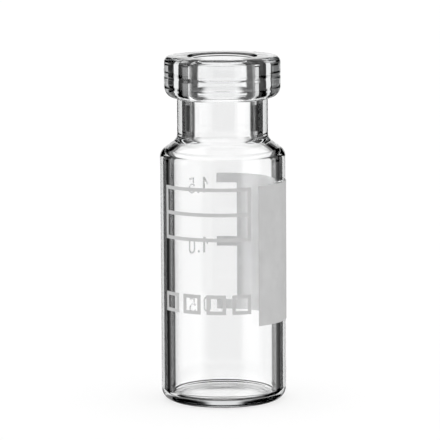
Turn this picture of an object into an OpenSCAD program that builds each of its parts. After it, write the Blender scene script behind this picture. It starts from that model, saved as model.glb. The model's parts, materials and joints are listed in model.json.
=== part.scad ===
// Glass sample vial, 12 x 32 mm, 2 ml, with a crimp-top rim.
// The vial is one piece of clear tube glass, formed to a shoulder, a neck and a rolled rim.
// White ceramic enamel is fired on its outside: a write-on patch with three fill lines,
// the volumes beside them, an outlined label panel and a row of tick boxes.
// Origin: middle of the base, at the surface the vial stands on. +Z is up, -Y is the front.

/* [Glass body] */
// Overall height
height = 32; // [31:0.5:45]
// Outer diameter of the body
body_d = 11.6; // [10.6:0.1:15]
// Wall thickness of the body
body_wall = 0.9; // [0.6:0.05:1.2]
// Height of the shoulder, neck and rim together
top_h = 9.3; // [9:0.1:10.4]
// Run of the shoulder's slope, for each shoulder_drop that it falls
shoulder_run = 4; // [3:0.5:6]
// Drop of the shoulder's slope, for each shoulder_run that it goes outward
shoulder_drop = 3; // [2:0.5:3]
// Radius of the shoulder's outer turn
shoulder_turn_r = 1; // [0.8:0.1:2]
// Radius of the hollow flare from the shoulder up into the neck
neck_flare_r = 0.9; // [0.4:0.1:1.2]
// Glass thickness across the shoulder
shoulder_wall = 0.75; // [0.7:0.05:1.2]
// Radius of the inner turn under the shoulder
inner_turn_r = 0.3; // [0.2:0.05:1.2]
// Radius of the inner flare where the chamber becomes the neck bore
inner_flare_r = 0.8; // [0.5:0.1:2.4]

/* [Neck and rim] */
// Outer diameter of the neck
neck_d = 8.4; // [7.6:0.1:8.8]
// Diameter of the bore through the neck
neck_bore_d = 6.1; // [5.2:0.1:6.4]
// Outer diameter of the crimp rim
rim_d = 10.75; // [10.4:0.05:12.9]
// Height of the crimp rim
rim_h = 3.85; // [2.8:0.05:4.6]
// Radius round the rim's underside
rim_under_r = 1; // [0.4:0.05:1]
// Radius of the rim's upper outer edge
rim_edge_r = 0.6; // [0.2:0.05:0.7]
// Radius of the fire-polished mouth
mouth_r = 0.5; // [0.2:0.05:0.6]
// Radius of the small fillet between the neck and the rim
under_rim_fillet_r = 0.15; // [0.05:0.05:0.3]

/* [Base] */
// Thickness of the floor at its edge
floor_t = 0.8; // [0.6:0.05:1.5]
// Rise of the inner floor at its middle
floor_rise = 0.2; // [0.1:0.05:0.4]
// Radius between the inner floor and the wall
floor_corner_r = 0.35; // [0.3:0.05:0.9]
// Radius of the heel
heel_r = 1.2; // [0.5:0.05:1.4]
// Depth of the hollow under the base
dish_depth = 0.25; // [0.1:0.05:0.35]
// Width of the flat ring that the vial stands on
foot_w = 0.6; // [0.4:0.05:1.2]

/* [Enamel] */
// Thickness of the fired enamel
enamel_t = 0.04; // [0.03:0.01:0.1]
// Height of the lower edge of the print above the base
print_z = 7.6; // [4:0.1:9]
// Height of the print
print_h = 12.9; // [9:0.1:13]

/* [Write-on patch] */
// Width of the patch, measured round the glass
patch_w = 13.3; // [8:0.1:16]
// Distance from the front centre to the patch's near edge, measured round the glass
patch_x = 3.43; // [3:0.05:5]

/* [Volume marks] */
// Length of a fill line, measured round the glass
mark_w = 2.15; // [1.5:0.05:3]
// Height of a fill line
mark_h = 0.9; // [0.3:0.05:1.2]
// Number of fill lines, each half a millilitre above the last
mark_count = 3; // [2:1:3]
// Gap between a fill line's end and its numeral
numeral_gap = 0.96; // [0.5:0.02:1.2]
// Height of a numeral
numeral_h = 1.5; // [1:0.05:1.8]
// Stroke width of a numeral
numeral_stroke = 0.17; // [0.12:0.01:0.22]
// How much closer the numerals stand to each other than the fill lines do
numeral_gather = 0.33; // [0:0.01:0.5]

/* [Label panel] */
// Distance from the front centre to the panel's right edge, measured round the glass
panel_x = 2.6; // [2:0.05:2.9]
// Width of the panel, measured round the glass
panel_w = 8.9; // [6:0.1:10]
// Height of the panel
panel_h = 4.9; // [3:0.1:5.4]
// Number of writing rows in the panel
panel_rows = 2; // [1:1:3]
// Height of the panel's upper edge below the upper edge of the print
panel_drop = 0.1; // [0:0.05:1]
// Line width of the panel and the tick boxes
line_w = 0.32; // [0.15:0.01:0.5]

/* [Tick boxes] */
// Number of tick boxes
box_count = 4; // [2:1:5]
// Side of a tick box
box_w = 1.8; // [0.8:0.05:1.9]
// Height of the boxes' lower edge above the lower edge of the print
box_rise = 1.2; // [0.3:0.05:2]

/* [Hidden] */
$fn = 128;

shoulder_z = height - top_h;
body_r = body_d / 2;
chamber_r = body_r - body_wall;
neck_r = neck_d / 2;
bore_r = neck_bore_d / 2;
rim_r = rim_d / 2;
rim_z = height - rim_h;
dish_r = body_r - heel_r - foot_w;
floor_r = chamber_r - floor_corner_r;
past = 1;

enamel_r = body_r + enamel_t;
print_top_z = print_z + print_h;
mark_pitch = (print_h - mark_h) / (mark_count - 1);
numeral_pitch = mark_pitch - numeral_gather;
numeral_w = 0.55 * numeral_h;
one_w = 0.36 * numeral_h;
point_r = 0.8 * numeral_stroke;
box_pitch = (panel_w - box_w) / (box_count - 1);

// Direction square to the shoulder's slope, pointing up and out.
slope_out = [shoulder_drop, shoulder_run] / norm([shoulder_drop, shoulder_run]);

// Distance of the shoulder's sloping line from the origin, for a wall of radius low_r that
// starts to turn at start_z.
function line_reach(low_r, start_z, turn_r) = [low_r - turn_r, start_z] * slope_out + turn_r;

// Height at which a wall of radius low_r starts to turn, for a sloping line of that reach.
function turn_start_z(low_r, reach, turn_r) =
    (reach - turn_r - (low_r - turn_r) * slope_out.x) / slope_out.y;

// Height at which the flare has become the straight wall of radius high_r.
function flare_end_z(high_r, reach, flare_r) =
    (reach + flare_r - (high_r + flare_r) * slope_out.x) / slope_out.y;

outer_reach = line_reach(body_r, shoulder_z, shoulder_turn_r);
inner_reach = outer_reach - shoulder_wall;
neck_z = flare_end_z(neck_r, outer_reach, neck_flare_r);
inner_turn_z = turn_start_z(chamber_r, inner_reach, inner_turn_r);
inner_neck_z = flare_end_z(bore_r, inner_reach, inner_flare_r);

// Radius of the circle whose cap is rise high and reach wide from its middle.
function cap_radius(reach, rise) = (reach * reach + rise * rise) / (2 * rise);

// Angle, seen from above, of a place on the body that lies x to the right of the front centre.
function wrap(x) = x / body_r * 180 / PI - 90;

// Half section from a straight wall of radius low_r, over a rounded turn, along the slope and
// up a hollow flare to a straight wall of radius high_r.
module shoulder_section(low_r, high_r, start_z, turn_r, flare_r) {
    reach = line_reach(low_r, start_z, turn_r);
    end_z = flare_end_z(high_r, reach, flare_r);
    turn_centre = [low_r - turn_r, start_z];
    flare_centre = [high_r + flare_r, end_z];
    translate(turn_centre) intersection() {
        circle(turn_r);
        square(turn_r);
    }
    difference() {
        polygon([
            [0, start_z],
            turn_centre,
            turn_centre + turn_r * slope_out,
            flare_centre - flare_r * slope_out,
            flare_centre,
            [high_r, end_z],
            [0, end_z]
        ]);
        translate(flare_centre) circle(flare_r);
    }
}

// Half section of a straight wall with a rounded lower corner.
module rounded_foot_section(r, corner_r, low_z, high_z) {
    translate([0, low_z]) square([r - corner_r, high_z - low_z]);
    translate([0, low_z + corner_r]) square([r, high_z - low_z - corner_r]);
    translate([r - corner_r, low_z + corner_r]) circle(corner_r);
}

// Half section of the rim as a solid disc, with its rounded underside and upper edge.
module rim_section() {
    rounded_foot_section(rim_r, rim_under_r, rim_z, height - rim_edge_r);
    translate([0, rim_z + rim_under_r]) square([rim_r - rim_edge_r, rim_h - rim_under_r]);
    translate([rim_r - rim_edge_r, height - rim_edge_r]) circle(rim_edge_r);
}

// Hollow corner fillet that fills the angle right of a wall and below a ledge.
module corner_fillet(r) {
    difference() {
        translate([-r, 0]) square([2 * r, r]);
        translate([r, 0]) circle(r);
    }
}

// Everything inside the vial's outer surface.
module outside_section() {
    rounded_foot_section(body_r, heel_r, 0, shoulder_z);
    shoulder_section(body_r, neck_r, shoulder_z, shoulder_turn_r, neck_flare_r);
    translate([0, neck_z]) square([neck_r, rim_z - neck_z]);
    translate([neck_r, rim_z - under_rim_fillet_r]) corner_fillet(under_rim_fillet_r);
    rim_section();
}

// The chamber, the neck bore and the polished mouth.
module inside_section() {
    difference() {
        rounded_foot_section(chamber_r, floor_corner_r, floor_t, inner_turn_z);
        dome_r = cap_radius(floor_r, floor_rise);
        translate([0, floor_t + floor_rise - dome_r]) circle(dome_r);
    }
    shoulder_section(chamber_r, bore_r, inner_turn_z, inner_turn_r, inner_flare_r);
    translate([0, inner_neck_z]) square([bore_r, height + past - inner_neck_z]);
    translate([0, height - mouth_r]) difference() {
        square([bore_r + mouth_r, mouth_r + past]);
        translate([bore_r + mouth_r, 0]) circle(mouth_r);
    }
}

module glass_vial() color([0.82, 0.9, 0.92, 0.45]) {
    rotate_extrude() difference() {
        outside_section();
        inside_section();
        dish_sphere_r = cap_radius(dish_r, dish_depth);
        translate([0, dish_depth - dish_sphere_r]) circle(dish_sphere_r);
    }
}

// A curved block round the body's axis, w wide along the glass and h high, from inner_r to
// outer_r, with its lower left corner at x, z.
module curved_block(x, z, w, h, inner_r, outer_r) {
    rotate([0, 0, wrap(x)]) rotate_extrude(angle = wrap(w) - wrap(0))
        translate([inner_r, z]) square([outer_r - inner_r, h]);
}

// A field of enamel on the glass.
module enamel_field(x, z, w, h) {
    curved_block(x, z, w, h, body_r, enamel_r);
}

// A window that leaves the glass bare when it is taken out of a field.
module bare_window(x, z, w, h) {
    curved_block(x, z, w, h, body_r - past, enamel_r + past);
}

// An outlined field with bare rows inside, one above the other.
module enamel_outline(x, z, w, h, rows) {
    row_h = (h - line_w) / rows - line_w;
    difference() {
        enamel_field(x, z, w, h);
        for (i = [0 : rows - 1])
            bare_window(x + line_w, z + line_w + i * (row_h + line_w), w - 2 * line_w, row_h);
    }
}

// A small flat figure laid on the body, its own origin at x, z.
module enamel_figure(x, z) {
    intersection() {
        rotate([0, 0, wrap(x)]) translate([body_r - past, 0, z]) rotate([90, 0, 90])
            linear_extrude(height = 2 * past) children();
        difference() {
            cylinder(r = enamel_r, h = height);
            translate([0, 0, -past]) cylinder(r = body_r, h = height + 2 * past);
        }
    }
}

// The patch, with the fill lines left standing on its far edge like the teeth of a comb.
module write_on_patch() color("whitesmoke") {
    difference() {
        enamel_field(patch_x, print_z, patch_w + mark_w, print_h);
        for (i = [0 : mark_count - 2])
            bare_window(
                patch_x + patch_w,
                print_z + mark_h + i * mark_pitch,
                mark_w + past,
                mark_pitch - mark_h
            );
    }
}

// Figure nought: an upright ring with straight sides.
module nought() {
    end_r = numeral_w / 2;
    inner_r = end_r - numeral_stroke;
    difference() {
        union() {
            translate([0, end_r]) square([numeral_w, numeral_h - 2 * end_r]);
            translate([end_r, end_r]) circle(end_r);
            translate([end_r, numeral_h - end_r]) circle(end_r);
        }
        translate([numeral_stroke, end_r]) square([2 * inner_r, numeral_h - 2 * end_r]);
        translate([end_r, end_r]) circle(inner_r);
        translate([end_r, numeral_h - end_r]) circle(inner_r);
    }
}

// Figure one: an upright stroke with a slanted flag.
module one() {
    flag_h = 0.38 * numeral_h;
    stem_x = one_w - 1.3 * numeral_stroke;
    polygon([
        [stem_x, 0],
        [one_w, 0],
        [one_w, numeral_h],
        [stem_x, numeral_h],
        [0, numeral_h - flag_h],
        [0.3 * numeral_stroke, numeral_h - flag_h - numeral_stroke],
        [stem_x, numeral_h - 2.4 * numeral_stroke]
    ]);
}

// Figure five: a top bar and a short stem over an open bowl.
module five() {
    bowl_r = 0.32 * numeral_h;
    bowl_x = numeral_w - bowl_r;
    stem_low_z = 1.62 * bowl_r;
    translate([0.1 * numeral_w, numeral_h - numeral_stroke])
        square([0.8 * numeral_w, numeral_stroke]);
    translate([0.1 * numeral_w, stem_low_z]) square([numeral_stroke, numeral_h - stem_low_z]);
    translate([bowl_x, bowl_r]) difference() {
        circle(bowl_r);
        circle(bowl_r - numeral_stroke);
        polygon([[0, 0], [-2 * bowl_r, 1.32 * bowl_r], [-2 * bowl_r, -0.9 * bowl_r]]);
    }
}

module numeral(value) {
    if (value == 0) nought();
    if (value == 1) one();
    if (value == 5) five();
}

// Half millilitres beside each fill line, read from outside: 0.5, 1.0, 1.5.
module volume_numerals() color("whitesmoke") {
    start_x = patch_x + patch_w + mark_w + numeral_gap;
    point_x = start_x + one_w + 2.6 * point_r + 0.22 * numeral_w;
    tenths_x = point_x + 2.6 * point_r + 0.12 * numeral_w;
    middle = (mark_count - 1) / 2;
    middle_z = print_z + middle * mark_pitch + mark_h - numeral_h;
    for (i = [0 : mark_count - 1]) {
        halves = i + 1;
        z = middle_z + (i - middle) * numeral_pitch;
        whole = floor(halves / 2);
        whole_w = whole == 0 ? numeral_w : one_w;
        enamel_figure(start_x + one_w - whole_w, z) numeral(whole);
        enamel_figure(point_x, z) translate([0, point_r]) circle(point_r);
        enamel_figure(tenths_x, z) numeral(halves % 2 == 0 ? 0 : 5);
    }
}

module label_panel() color("whitesmoke") {
    low_z = print_top_z - panel_drop - panel_h;
    enamel_outline(panel_x - panel_w, low_z, panel_w, panel_h, panel_rows);
}

module tick_boxes() color("whitesmoke") {
    for (i = [0 : box_count - 1])
        enamel_outline(panel_x - panel_w + i * box_pitch, print_z + box_rise, box_w, box_w, 1);
}

glass_vial();
write_on_patch();
volume_numerals();
label_panel();
tick_boxes();
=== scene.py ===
"""Looks of a 2 ml glass sample vial with fired white enamel print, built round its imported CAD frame."""

import json
import math

import bpy
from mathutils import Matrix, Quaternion, Vector


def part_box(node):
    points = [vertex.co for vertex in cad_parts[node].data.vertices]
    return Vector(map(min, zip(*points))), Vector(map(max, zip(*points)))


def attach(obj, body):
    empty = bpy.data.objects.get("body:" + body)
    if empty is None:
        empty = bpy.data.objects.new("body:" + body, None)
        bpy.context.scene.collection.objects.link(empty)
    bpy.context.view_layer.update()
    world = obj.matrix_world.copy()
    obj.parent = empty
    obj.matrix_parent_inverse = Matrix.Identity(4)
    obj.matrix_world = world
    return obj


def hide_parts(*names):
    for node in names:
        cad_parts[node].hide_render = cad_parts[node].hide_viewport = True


MM = 0.001

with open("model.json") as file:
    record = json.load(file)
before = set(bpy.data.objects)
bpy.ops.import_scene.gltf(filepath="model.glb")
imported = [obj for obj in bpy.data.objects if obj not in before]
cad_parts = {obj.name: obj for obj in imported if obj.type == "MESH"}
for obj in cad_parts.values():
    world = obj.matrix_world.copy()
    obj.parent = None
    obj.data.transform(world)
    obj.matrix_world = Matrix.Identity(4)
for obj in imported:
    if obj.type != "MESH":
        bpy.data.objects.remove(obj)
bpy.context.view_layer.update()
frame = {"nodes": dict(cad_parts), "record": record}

# Sizes of the vial in millimetres, as in the CAD. Those that the frame gives are read from it.
MOUNTS = {mount["name"]: mount for mount in frame["record"]["mounts"]}
_, GLASS_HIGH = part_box("glass_vial")
HEIGHT = GLASS_HIGH.z / MM
BODY_R = MOUNTS["rack_body"]["dims"]["r_mm"]
RIM_R = MOUNTS["crimp_rim"]["dims"]["r_mm"]
BORE_R = MOUNTS["neck_bore"]["dims"]["r_mm"]
GLASS_SIZES = {
    "Height": HEIGHT,
    "Body Radius": BODY_R,
    "Body Wall": 0.9,
    "Top Height": 9.3,
    "Slope Run": 4.0,
    "Slope Drop": 3.0,
    "Shoulder Turn Radius": 1.0,
    "Neck Flare Radius": 0.9,
    "Shoulder Wall": 0.75,
    "Inner Turn Radius": 0.3,
    "Inner Flare Radius": 0.8,
    "Neck Radius": 4.2,
    "Bore Radius": BORE_R,
    "Rim Radius": RIM_R,
    "Rim Height": 3.85,
    "Under Rim Radius": 1.0,
    "Rim Edge Radius": 0.6,
    "Mouth Radius": 0.5,
    # A fine groove round the rim, left by the forming tool. The CAD doesn't have it.
    "Forming Line Drop": 1.8,
    "Forming Line Width": 0.16,
    "Forming Line Depth": 0.04,
    "Neck Fillet Radius": 0.15,
    "Floor Thickness": 0.8,
    "Floor Rise": 0.2,
    "Floor Corner Radius": 0.35,
    "Heel Radius": 1.2,
    "Dish Depth": 0.25,
    "Foot Width": 0.6,
    "Longest Step": 0.35,
}
STEPS_IN_A_TURN = 14
STEPS_ROUND = 224

# Elevations in degrees at which the studio's cards end or change.
DEEP = -19.5
LOW = -14.5
MIDDLE = -11.35
HIGH = -6.5
RIM = -5.7
# The even light is this many times stronger on matt surfaces that are seen through the vial. More
# passes than this through the glass's surfaces, from the eye to the light, count as such a view.
THROUGH_GLASS = 4.3
PASSES_THROUGH_VIAL = 4.5

# How far the enamel's two faces stand from the glass, in millimetres.
ENAMEL_BACK = 0.002
ENAMEL_FACE = 0.04

# Enamel prints: the CAD node of each, its new name, and how often its faces are divided.
ENAMEL_PRINTS = (
    ("write_on_patch", "enamel_patch_and_fill_lines", 2),
    ("volume_numerals", "enamel_volume_numerals", 1),
    ("label_panel", "enamel_label_panel", 2),
    ("tick_boxes", "enamel_tick_boxes", 1),
)


class Amount:
    """A number worked out inside a node tree, so that sizes combine with plain signs."""

    def __init__(self, tree, socket):
        self.tree = tree
        self.socket = socket

    def __add__(self, other):
        return self.tree.math("ADD", self, other)

    def __sub__(self, other):
        return self.tree.math("SUBTRACT", self, other)

    def __rsub__(self, other):
        return self.tree.math("SUBTRACT", other, self)

    def __mul__(self, other):
        return self.tree.math("MULTIPLY", self, other)

    def __truediv__(self, other):
        return self.tree.math("DIVIDE", self, other)


class Tree:
    """A Geometry Nodes tree with named inputs."""

    def __init__(self, name):
        self.group = bpy.data.node_groups.new(name, "GeometryNodeTree")
        self.sockets = {}
        self.new_socket("Geometry", "NodeSocketGeometry", "INPUT")
        self.new_socket("Geometry", "NodeSocketGeometry", "OUTPUT")
        self.inputs = self.group.nodes.new("NodeGroupInput")
        self.output = self.group.nodes.new("NodeGroupOutput")

    def new_socket(self, name, kind, side):
        socket = self.group.interface.new_socket(name, socket_type=kind, in_out=side)
        if side == "INPUT":
            self.sockets[name] = socket.identifier

    def size(self, name):
        """A named input for a size, ready to be used in sums."""
        self.new_socket(name, "NodeSocketFloat", "INPUT")
        return Amount(self, self.inputs.outputs[name])

    def choice(self, name, kind):
        """A named input of another kind, such as a material or a whole number."""
        self.new_socket(name, kind, "INPUT")
        return self.inputs.outputs[name]

    def feed(self, socket, value):
        if isinstance(value, Amount):
            value = value.socket
        if isinstance(value, bpy.types.NodeSocket):
            self.group.links.new(value, socket)
        else:
            socket.default_value = value

    def node(self, kind, settings=None, **inputs):
        """A node with its settings, and with inputs given by name with _ for each space."""
        node = self.group.nodes.new(kind)
        for name, value in (settings or {}).items():
            setattr(node, name, value)
        for name, value in inputs.items():
            self.feed(node.inputs[name.replace("_", " ")], value)
        return node

    def math(self, operation, *values):
        node = self.node("ShaderNodeMath", {"operation": operation})
        for socket, value in zip(node.inputs, values):
            self.feed(socket, value)
        return Amount(self, node.outputs[0])

    def vector(self, x, y, z):
        return self.node("ShaderNodeCombineXYZ", X=x, Y=y, Z=z).outputs[0]

    def split(self, vector):
        node = self.node("ShaderNodeSeparateXYZ", Vector=vector)
        return [Amount(self, socket) for socket in node.outputs]

    def pick(self, kind, index, values):
        """The value that stands at that index, as a field."""
        node = self.node("GeometryNodeIndexSwitch", {"data_type": kind}, Index=index)
        while len(node.index_switch_items) < len(values):
            node.index_switch_items.new()
        for place, value in enumerate(values):
            self.feed(node.inputs[str(place)], value)
        return node.outputs[0]

    def finish(self, geometry, material):
        """The tree ends in real faces that carry their material."""
        real = self.node("GeometryNodeRealizeInstances", Geometry=geometry)
        coated = self.node("GeometryNodeSetMaterial", Geometry=real.outputs[0], Material=material)
        self.feed(self.output.inputs["Geometry"], coated.outputs[0])


def grow(name, tree, values, mesh=None):
    """A piece whose mesh is what the tree makes from mesh, with the tree's inputs set to values."""
    start = mesh or bpy.data.meshes.new(name + "_start")
    piece = bpy.data.objects.new(name, start)
    bpy.context.scene.collection.objects.link(piece)
    modifier = piece.modifiers.new(tree.group.name, "NODES")
    modifier.node_group = tree.group
    for label, value in values.items():
        modifier[tree.sockets[label]] = value
    evaluated = piece.evaluated_get(bpy.context.evaluated_depsgraph_get())
    made = bpy.data.meshes.new_from_object(evaluated)
    piece.modifiers.clear()
    piece.data = made
    made.name = name
    bpy.data.meshes.remove(start)
    return piece


def section_corners(tree):
    """Corners of the glass's half section as (radius, height, fillet), from the middle of the
    underside round the outside to the middle of the inner floor."""
    size = {name: tree.size(name) for name in GLASS_SIZES}
    height = size["Height"]
    body_r = size["Body Radius"]
    neck_r = size["Neck Radius"]
    bore_r = size["Bore Radius"]
    rim_r = size["Rim Radius"]
    turn_r = size["Shoulder Turn Radius"]
    chamber_r = body_r - size["Body Wall"]
    rim_z = height - size["Rim Height"]
    line_z = height - size["Forming Line Drop"]
    line_half = size["Forming Line Width"] * 0.5
    shoulder_z = height - size["Top Height"]

    slope_length = tree.math("SQRT", size["Slope Run"] * size["Slope Run"]
                             + size["Slope Drop"] * size["Slope Drop"])
    out_r = size["Slope Drop"] / slope_length
    out_z = size["Slope Run"] / slope_length
    outer_reach = (body_r - turn_r) * out_r + shoulder_z * out_z + turn_r
    inner_reach = outer_reach - size["Shoulder Wall"]

    def on_slope(radius, reach):
        return (reach - radius * out_r) / out_z

    corners = [
        (0.0, 0.0, 0.0),
        (body_r - size["Heel Radius"] - size["Foot Width"], 0.0, 0.0),
        (body_r, 0.0, size["Heel Radius"]),
        (body_r, on_slope(body_r, outer_reach), turn_r),
        (neck_r, on_slope(neck_r, outer_reach), size["Neck Flare Radius"]),
        (neck_r, rim_z, size["Neck Fillet Radius"]),
        (rim_r, rim_z, size["Under Rim Radius"]),
        (rim_r, line_z - line_half, 0.0),
        (rim_r - size["Forming Line Depth"], line_z, 0.0),
        (rim_r, line_z + line_half, 0.0),
        (rim_r, height, size["Rim Edge Radius"]),
        (bore_r, height, size["Mouth Radius"]),
        (bore_r, on_slope(bore_r, inner_reach), size["Inner Flare Radius"]),
        (chamber_r, on_slope(chamber_r, inner_reach), size["Inner Turn Radius"]),
        (chamber_r, size["Floor Thickness"], size["Floor Corner Radius"]),
        (0.0, size["Floor Thickness"], 0.0),
    ]
    return size, corners


def crowned(tree, height, radius, reach, rise):
    """Height of a place on a floor that rises to its middle, from nothing at reach."""
    share = tree.math("MAXIMUM", 1.0 - (radius / reach) * (radius / reach), 0.0)
    return height + share * rise


def glass_tree():
    """Draws the half section from its sizes and turns it round the vial's axis."""
    tree = Tree("vial_lathe")
    size, corners = section_corners(tree)
    steps_in_a_turn = tree.choice("Steps In A Turn", "NodeSocketInt")
    steps_round = tree.choice("Steps Round", "NodeSocketInt")
    glass = tree.choice("Glass", "NodeSocketMaterial")

    index = tree.node("GeometryNodeInputIndex").outputs[0]
    line = tree.node("GeometryNodeMeshLine", Count=len(corners))
    places = tree.pick("VECTOR", index, [tree.vector(r, z, 0.0) for r, z, _ in corners])
    drawn = tree.node("GeometryNodeSetPosition", Geometry=line.outputs[0], Position=places)
    outline = tree.node("GeometryNodeMeshToCurve", Mesh=drawn.outputs[0])
    fillets = tree.pick("FLOAT", index, [fillet for _, _, fillet in corners])
    rounded = tree.node("GeometryNodeFilletCurve", {"mode": "POLY"}, Curve=outline.outputs[0],
                        Count=steps_in_a_turn, Radius=fillets)

    place = tree.node("GeometryNodeInputPosition").outputs[0]
    onward = tree.node("GeometryNodeFieldAtIndex", {"data_type": "FLOAT_VECTOR"},
                       Value=place, Index=tree.math("ADD", index, 1.0))
    gap = tree.node("ShaderNodeVectorMath", {"operation": "DISTANCE"})
    tree.feed(gap.inputs[0], place)
    tree.feed(gap.inputs[1], onward.outputs[0])
    cuts = Amount(tree, gap.outputs["Value"]) / size["Longest Step"]
    stepped = tree.node("GeometryNodeSubdivideCurve", Curve=rounded.outputs[0], Cuts=cuts)

    radius, height, _ = tree.split(place)
    dish_r = size["Body Radius"] - size["Heel Radius"] - size["Foot Width"]
    floor_r = size["Body Radius"] - size["Body Wall"] - size["Floor Corner Radius"]
    dished = crowned(tree, height, radius, dish_r, size["Dish Depth"])
    domed = crowned(tree, height, radius, floor_r, size["Floor Rise"])
    is_underside = tree.math("LESS_THAN", height, size["Floor Thickness"] * 0.5)
    is_low = tree.math("LESS_THAN", height, size["Floor Thickness"] * 1.5)
    shaped = domed + (dished - domed) * is_underside
    crowned_z = height + (shaped - height) * is_low
    section = tree.node("GeometryNodeSetPosition", Geometry=stepped.outputs[0],
                        Position=tree.vector(radius - 1.0, 0.0 - crowned_z, 0.0))

    # The section rides on a circle of radius 1, which was taken off its own radius above.
    circle = tree.node("GeometryNodeCurvePrimitiveCircle", Resolution=steps_round, Radius=1.0)
    turned = tree.node("GeometryNodeCurveToMesh", Curve=circle.outputs[0],
                       Profile_Curve=section.outputs[0])
    closed = tree.node("GeometryNodeMergeByDistance", Geometry=turned.outputs[0], Distance=1e-4)
    outward = tree.node("GeometryNodeFlipFaces", Mesh=closed.outputs[0])
    smooth = tree.node("GeometryNodeSetShadeSmooth", Geometry=outward.outputs[0])
    sized = tree.node("GeometryNodeTransform", Geometry=smooth.outputs[0], Scale=(MM, MM, MM))
    tree.finish(sized.outputs[0], glass)
    return tree


def enamel_tree():
    """Lays a print's faces exactly round the glass, so that they curve with it."""
    tree = Tree("enamel_wrap")
    glass_r = tree.size("Glass Radius")
    back = tree.size("Back")
    face = tree.size("Face")
    merge = tree.size("Merge Distance")
    level = tree.choice("Divisions", "NodeSocketInt")
    enamel = tree.choice("Enamel", "NodeSocketMaterial")

    closed = tree.node("GeometryNodeMergeByDistance",
                       Geometry=tree.inputs.outputs["Geometry"], Distance=merge)
    x, y, z = tree.split(tree.node("GeometryNodeInputPosition").outputs[0])
    radius = tree.math("SQRT", x * x + y * y)
    is_face = tree.math("GREATER_THAN", radius, glass_r + (back + face) * 0.5)
    noted = tree.node("GeometryNodeStoreNamedAttribute", {"data_type": "FLOAT", "domain": "POINT"},
                      Geometry=closed.outputs[0], Name="lift", Value=is_face)
    divided = tree.node("GeometryNodeSubdivideMesh", Mesh=noted.outputs[0], Level=level)
    lift = tree.node("GeometryNodeInputNamedAttribute", {"data_type": "FLOAT"}, Name="lift")
    lifted = glass_r + back + Amount(tree, lift.outputs["Attribute"]) * (face - back)
    share = lifted / radius
    laid = tree.node("GeometryNodeSetPosition", Geometry=divided.outputs[0],
                     Position=tree.vector(x * share, y * share, z))
    smooth = tree.node("GeometryNodeSetShadeSmooth", Geometry=laid.outputs[0], Shade_Smooth=False)
    tree.finish(smooth.outputs[0], enamel)
    return tree


class Finish:
    """A material in the making: one Principled shader and the patterns that feed it."""

    def __init__(self, name):
        self.material = bpy.data.materials.new(name)
        self.material.use_nodes = True
        self.nodes = self.material.node_tree.nodes
        self.links = self.material.node_tree.links
        self.shader = self.nodes["Principled BSDF"]
        self.place = self.nodes.new("ShaderNodeTexCoord").outputs["Object"]

    def set(self, **values):
        """Plain values on the shader, by name with _ for each space."""
        for name, value in values.items():
            self.shader.inputs[name.replace("_", " ")].default_value = value

    def stretched(self, scale):
        """Object coordinates in metres, stretched so that a pattern is longer one way."""
        mapping = self.nodes.new("ShaderNodeMapping")
        mapping.inputs["Scale"].default_value = scale
        self.links.new(self.place, mapping.inputs["Vector"])
        return mapping.outputs[0]

    def noise(self, size_mm, stretch=(1.0, 1.0, 1.0), detail=2.0):
        """A noise pattern from nought to one, whose spots are about that size."""
        node = self.nodes.new("ShaderNodeTexNoise")
        self.links.new(self.stretched(stretch), node.inputs["Vector"])
        node.inputs["Scale"].default_value = 1.0 / (size_mm * MM)
        node.inputs["Detail"].default_value = detail
        return node.outputs["Fac"]

    def ramp(self, value, stops):
        """Greys that follow the value, from stops of a position and a grey each."""
        node = self.nodes.new("ShaderNodeValToRGB")
        self.links.new(value, node.inputs["Fac"])
        elements = node.color_ramp.elements
        while len(elements) < len(stops):
            elements.new(1.0)
        for element, (position, grey) in zip(elements, stops):
            element.position = position
            element.color = (grey, grey, grey, 1.0)
        return node.outputs["Color"]

    def rough(self, value, low, high):
        """Roughness that follows the value from low to high."""
        node = self.nodes.new("ShaderNodeMapRange")
        self.links.new(value, node.inputs["Value"])
        node.inputs["From Min"].default_value = 0.3
        node.inputs["From Max"].default_value = 0.7
        node.inputs["To Min"].default_value = low
        node.inputs["To Max"].default_value = high
        self.links.new(node.outputs["Result"], self.shader.inputs["Roughness"])

    def bump(self, height, strength, depth_mm):
        """Adds a relief of that depth to those that the shader already has."""
        node = self.nodes.new("ShaderNodeBump")
        node.inputs["Strength"].default_value = strength
        node.inputs["Distance"].default_value = depth_mm * MM
        self.links.new(height, node.inputs["Height"])
        normal = self.shader.inputs["Normal"]
        if normal.is_linked:
            self.links.new(normal.links[0].from_socket, node.inputs["Normal"])
        self.links.new(node.outputs["Normal"], normal)


def glass_material():
    """Clear tube glass: faint long draw lines down the tube and a soft unevenness from the flame."""
    glass = Finish("clear_tube_glass")
    glass.set(Base_Color=(1.0, 1.0, 1.0, 1.0), IOR=1.49, Transmission_Weight=1.0)
    glass.rough(glass.noise(3.0, detail=3.0), 0.0, 0.012)
    glass.bump(glass.noise(0.9, stretch=(1.0, 1.0, 0.05)), 0.12, 0.004)
    glass.bump(glass.noise(2.6, stretch=(1.0, 1.0, 0.5)), 0.25, 0.008)
    absorb = glass.nodes.new("ShaderNodeVolumeAbsorption")
    absorb.inputs["Color"].default_value = (0.62, 0.64, 0.65, 1.0)
    absorb.inputs["Density"].default_value = 70.0
    output = glass.nodes["Material Output"]
    glass.links.new(absorb.outputs[0], output.inputs["Volume"])
    return glass.material


def enamel_material():
    """Fired white enamel: matt, a little cloudy, and slightly grainy to the touch."""
    enamel = Finish("fired_white_enamel")
    cloud = enamel.ramp(enamel.noise(1.6, detail=4.0), [(0.3, 0.5), (0.7, 0.55)])
    enamel.links.new(cloud, enamel.shader.inputs["Base Color"])
    enamel.rough(enamel.noise(0.5), 0.5, 0.66)
    enamel.set(IOR=1.45)
    enamel.bump(enamel.noise(0.09, detail=3.0), 0.35, 0.006)
    return enamel.material


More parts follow.
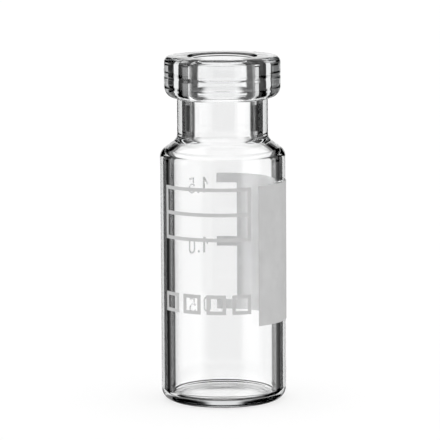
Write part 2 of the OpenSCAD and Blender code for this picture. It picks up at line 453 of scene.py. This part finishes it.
def add_vial():
    """The glass, with the CAD's own section, the forming line and a finer surface."""
    values = dict(GLASS_SIZES)
    values["Steps In A Turn"] = STEPS_IN_A_TURN
    values["Steps Round"] = STEPS_ROUND
    values["Glass"] = glass_material()
    vial = grow("vial_glass", glass_tree(), values)
    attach(vial, "root")
    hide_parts("glass_vial")


def add_prints():
    """The four enamel prints, from their CAD meshes."""
    tree = enamel_tree()
    enamel = enamel_material()
    for node, name, divisions in ENAMEL_PRINTS:
        values = {
            "Glass Radius": BODY_R * MM,
            "Back": ENAMEL_BACK * MM,
            "Face": ENAMEL_FACE * MM,
            "Merge Distance": 0.001 * MM,
            "Divisions": divisions,
            "Enamel": enamel,
        }
        start = frame["nodes"][node].data.copy()
        start.materials.clear()
        printed = grow(name, tree, values, start)
        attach(printed, "root")
        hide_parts(node)


def add_floor():
    """A plain white floor. It is hidden from views through the glass, which see the studio instead."""
    mesh = bpy.data.meshes.new("floor")
    half = 1.5
    mesh.from_pydata([(-half, -half, 0), (half, -half, 0), (half, half, 0), (-half, half, 0)],
                     [], [(0, 1, 2, 3)])
    floor = bpy.data.objects.new("floor", mesh)
    bpy.context.scene.collection.objects.link(floor)
    material = bpy.data.materials.new("white_floor")
    material.use_nodes = True
    nodes = material.node_tree.nodes
    links = material.node_tree.links
    nodes.clear()
    out = nodes.new("ShaderNodeOutputMaterial")
    add = nodes.new("ShaderNodeAddShader")
    diffuse = nodes.new("ShaderNodeBsdfDiffuse")
    diffuse.inputs["Color"].default_value = (0.4, 0.4, 0.4, 1)
    glow = nodes.new("ShaderNodeEmission")
    glow.inputs["Strength"].default_value = 0.63
    links.new(diffuse.outputs[0], add.inputs[0])
    links.new(glow.outputs[0], add.inputs[1])
    links.new(add.outputs[0], out.inputs["Surface"])
    mesh.materials.append(material)
    floor.visible_glossy = False
    floor.visible_transmission = False


class Studio:
    """The studio round the vial, built up card by card in the world's own nodes. Azimuths and
    elevations are in degrees. Azimuth 0 is straight behind the vial, and it grows to the right."""

    def __init__(self, tree):
        self.nodes = tree.nodes
        self.links = tree.links
        direction = self.nodes.new("ShaderNodeTexCoord").outputs["Generated"]
        split = self.nodes.new("ShaderNodeSeparateXYZ")
        self.links.new(direction, split.inputs[0])
        x, y, z = split.outputs
        self.azimuth = self.math("DEGREES", self.math("ARCTAN2", x, y))
        self.elevation = self.math("DEGREES", self.math("ARCSINE", z))
        self.light = None

    def math(self, operation, *values):
        """A sum of plain numbers and sockets."""
        node = self.nodes.new("ShaderNodeMath")
        node.operation = operation
        for socket, value in zip(node.inputs, values):
            if isinstance(value, (int, float)):
                socket.default_value = value
            else:
                self.links.new(value, socket)
        return node.outputs[0]

    def step(self, value, edge, blur, rising=True):
        """Nought on one side of the edge and one on the other, blurred over blur each way."""
        node = self.nodes.new("ShaderNodeMapRange")
        node.interpolation_type = "SMOOTHSTEP"
        self.links.new(value, node.inputs["Value"])
        node.inputs["From Min"].default_value = edge - blur
        node.inputs["From Max"].default_value = edge + blur
        node.inputs["To Min"].default_value = 0.0 if rising else 1.0
        node.inputs["To Max"].default_value = 1.0 if rising else 0.0
        return node.outputs["Result"]

    def card(self, azimuths, elevations, level, side_blur, end_blur):
        """A lit card between two azimuths and two elevations, added to the cards before it."""
        middle = (azimuths[0] + azimuths[1]) / 2
        half = (azimuths[1] - azimuths[0]) / 2
        turned = self.math("WRAP", self.math("SUBTRACT", self.azimuth, middle), 180.0, -180.0)
        off = self.math("ABSOLUTE", turned)
        across = self.step(off, half, side_blur, rising=False)
        low = self.step(self.elevation, elevations[0], end_blur[0])
        high = self.step(self.elevation, elevations[1], end_blur[1], rising=False)
        lit = self.math("MULTIPLY", self.math("MULTIPLY", across, level), self.math("MULTIPLY", low, high))
        self.light = lit if self.light is None else self.math("ADD", self.light, lit)


def add_world():
    """White surroundings, with the studio's cards where glass looks for its light."""
    world = bpy.data.worlds.new("studio")
    bpy.context.scene.world = world
    world.use_nodes = True
    nodes = world.node_tree.nodes
    links = world.node_tree.links
    nodes.clear()
    out = nodes.new("ShaderNodeOutputWorld")
    background = nodes.new("ShaderNodeBackground")
    links.new(background.outputs[0], out.inputs["Surface"])
    studio = Studio(world.node_tree)

    # Backdrop behind the vial, narrower above.
    studio.card((-19.0, 19.0), (LOW, 6.0), 1.05, side_blur=2.0, end_blur=(1.0, 3.0))
    studio.card((-11.0, 11.0), (6.0, 34.0), 1.0, side_blur=4.0, end_blur=(3.0, 4.0))
    # Right side: a card with a soft edge low down, above it a wide card and a narrower one, and
    # one beside them at the height of the rim.
    studio.card((58.0, 142.0), (MIDDLE, HIGH), 1.1, side_blur=12.0, end_blur=(0.1, 0.1))
    studio.card((80.0, 142.0), (HIGH, 14.0), 0.9, side_blur=5.0, end_blur=(0.1, 4.0))
    studio.card((105.0, 142.0), (-9.6, 14.0), 0.5, side_blur=2.0, end_blur=(1.0, 4.0))
    studio.card((58.0, 80.0), (RIM, 14.0), 0.82, side_blur=2.0, end_blur=(0.1, 4.0))
    # Left side: a low card, a dim low card nearer the backdrop, two cards above them, and a dim
    # one beside them at the height of the rim.
    studio.card((-138.0, -88.0), (MIDDLE, HIGH), 0.85, side_blur=3.0, end_blur=(0.1, 0.1))
    studio.card((-111.0, -69.0), (HIGH, 13.0), 0.85, side_blur=2.5, end_blur=(0.1, 4.0))
    studio.card((-64.0, -47.0), (MIDDLE, HIGH), 0.15, side_blur=3.0, end_blur=(0.1, 0.1))
    studio.card((-132.0, -104.0), (HIGH, 13.0), 0.8, side_blur=2.5, end_blur=(0.1, 4.0))
    studio.card((-74.0, -43.0), (RIM, 14.0), 0.26, side_blur=6.0, end_blur=(0.1, 4.0))
    # Overhead, and high up: dimmer to the right, stronger in front and to the left.
    studio.card((-200.0, 200.0), (33.0, 91.0), 1.2, side_blur=2.0, end_blur=(5.0, 0.1))
    studio.card((68.0, 160.0), (14.0, 37.0), 1.1, side_blur=10.0, end_blur=(4.0, 5.0))
    studio.card((160.0, 292.0), (14.0, 37.0), 2.0, side_blur=10.0, end_blur=(4.0, 5.0))
    # Backdrops for views from further up: one for looking from behind on the left, and one for
    # looking from in front on the right.
    studio.card((114.0, 156.0), (DEEP, MIDDLE), 0.9, side_blur=2.5, end_blur=(0.1, 0.1))
    studio.card((-66.0, -24.0), (-32.0, DEEP), 0.9, side_blur=2.5, end_blur=(0.1, 0.1))
    # Low down: a wide card in front, and one under the backdrop that shows in the base.
    studio.card((100.0, 260.0), (-95.0, DEEP), 0.9, side_blur=10.0, end_blur=(0.1, 0.1))
    studio.card((-21.0, 21.0), (-27.0, -20.5), 1.05, side_blur=2.5, end_blur=(1.0, 1.0))

    # Mirror images and views through glass see the cards. Matt surfaces are lit evenly. On those
    # that are seen through the vial the light is made stronger, because they would otherwise come
    # out dark grey. It makes them a little paler than where they are seen directly. The floor is
    # seen directly only, and keeps its shadow.
    path = nodes.new("ShaderNodeLightPath")
    through = studio.math("MAXIMUM", path.outputs["Is Glossy Ray"], path.outputs["Is Transmission Ray"])
    is_straight = studio.math("LESS_THAN", path.outputs["Diffuse Depth"], 0.5)
    is_studio = studio.math("MULTIPLY", through, is_straight)
    is_deep = studio.math("GREATER_THAN", path.outputs["Transmission Depth"],
                          PASSES_THROUGH_VIAL)
    even = studio.math("MULTIPLY_ADD", is_deep, THROUGH_GLASS - 1.0, 1.0)
    mix = nodes.new("ShaderNodeMix")
    mix.data_type = "FLOAT"
    links.new(is_studio, mix.inputs[0])
    links.new(even, mix.inputs[2])
    links.new(studio.light, mix.inputs[3])
    links.new(mix.outputs[0], background.inputs["Color"])


def add_camera():
    """A long lens from a little above, looking straight at the vial."""
    data = bpy.data.cameras.new("camera")
    camera = bpy.data.objects.new("camera", data)
    bpy.context.scene.collection.objects.link(camera)
    data.lens = 268.1
    data.sensor_width = 36.0
    aside = -0.28
    target = Vector((aside, 0.0, 16.74)) * MM
    camera.location = Vector((aside, -300.0, 58.0)) * MM
    roll = Quaternion((0.0, 0.0, 1.0), math.radians(-0.32))
    aim = (target - camera.location).to_track_quat("-Z", "Y")
    camera.rotation_euler = (aim @ roll).to_euler()
    data.clip_start = 0.01
    data.clip_end = 10.0
    bpy.context.scene.camera = camera


def main():
    scene = bpy.context.scene
    scene.view_settings.view_transform = "Standard"
    add_camera()
    add_world()
    add_floor()
    add_vial()
    add_prints()


main()
